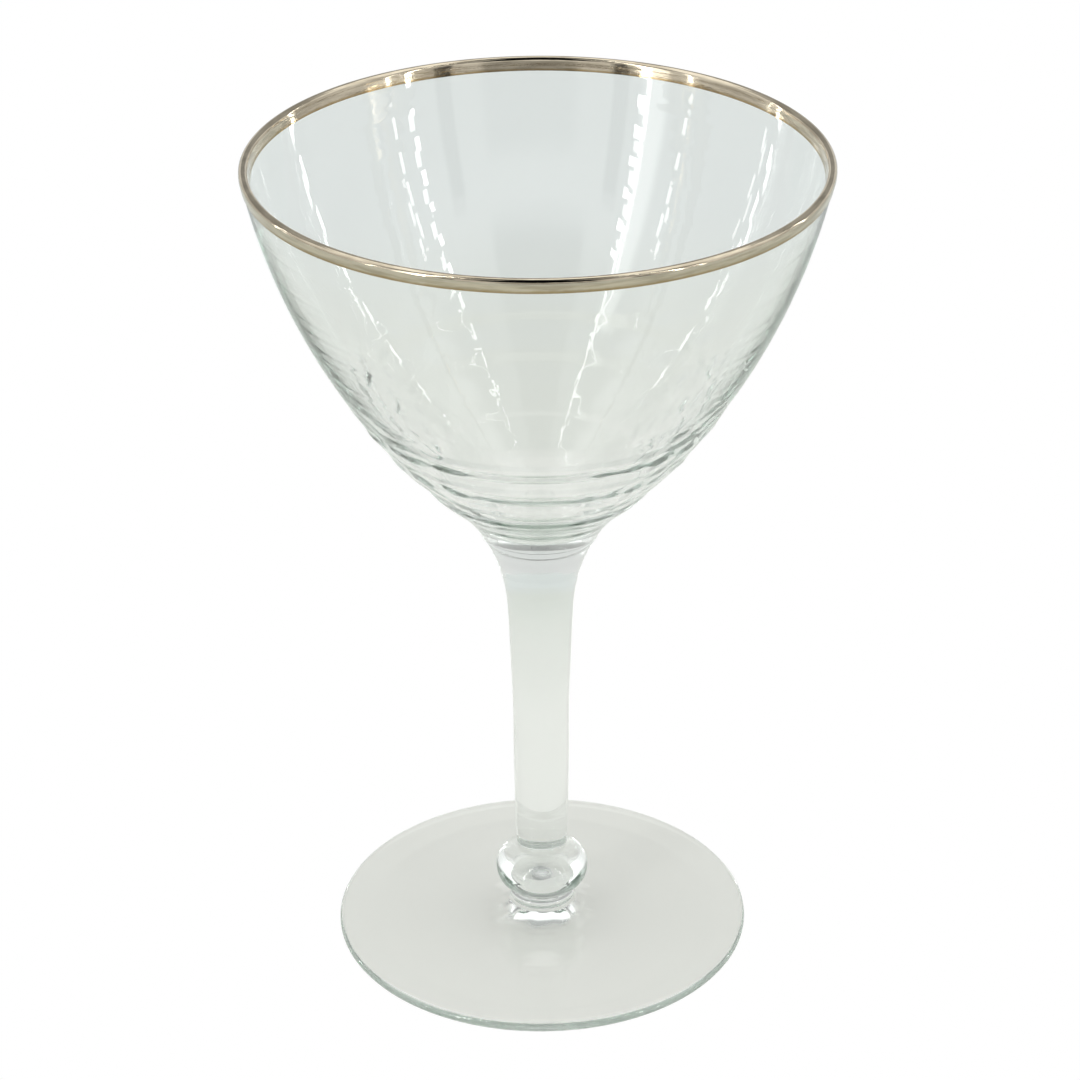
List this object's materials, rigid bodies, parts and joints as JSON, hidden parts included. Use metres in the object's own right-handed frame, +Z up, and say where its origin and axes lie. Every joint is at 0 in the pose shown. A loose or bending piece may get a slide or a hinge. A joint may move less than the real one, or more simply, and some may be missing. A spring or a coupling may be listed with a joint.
{
  "type": "cocktail glass",
  "caption": "Stemmed cocktail glass with a wide rounded conical bowl, a solid stem on a knop and a round foot, and a metal band fired on the rim.",
  "frame": {"origin": "centre of the circle on which the foot stands, at table height", "axes": "+Z up along the axis of the stem; the glass is round about Z, so X and Y are free"},
  "size_m": [0.0858, 0.0858, 0.13],
  "materials": {
    "clear_glass": "polished, with fine horizontal rings blown into the bowl",
    "rim_metal": "bright fired-on platinum, slightly worn"
  },
  "bodies": {
    "root": {"foot": "clear_glass", "collar": "clear_glass", "knop": "clear_glass", "stem": "clear_glass", "bowl": "clear_glass", "rim_band": "rim_metal"}
  },
  "joints": []
}
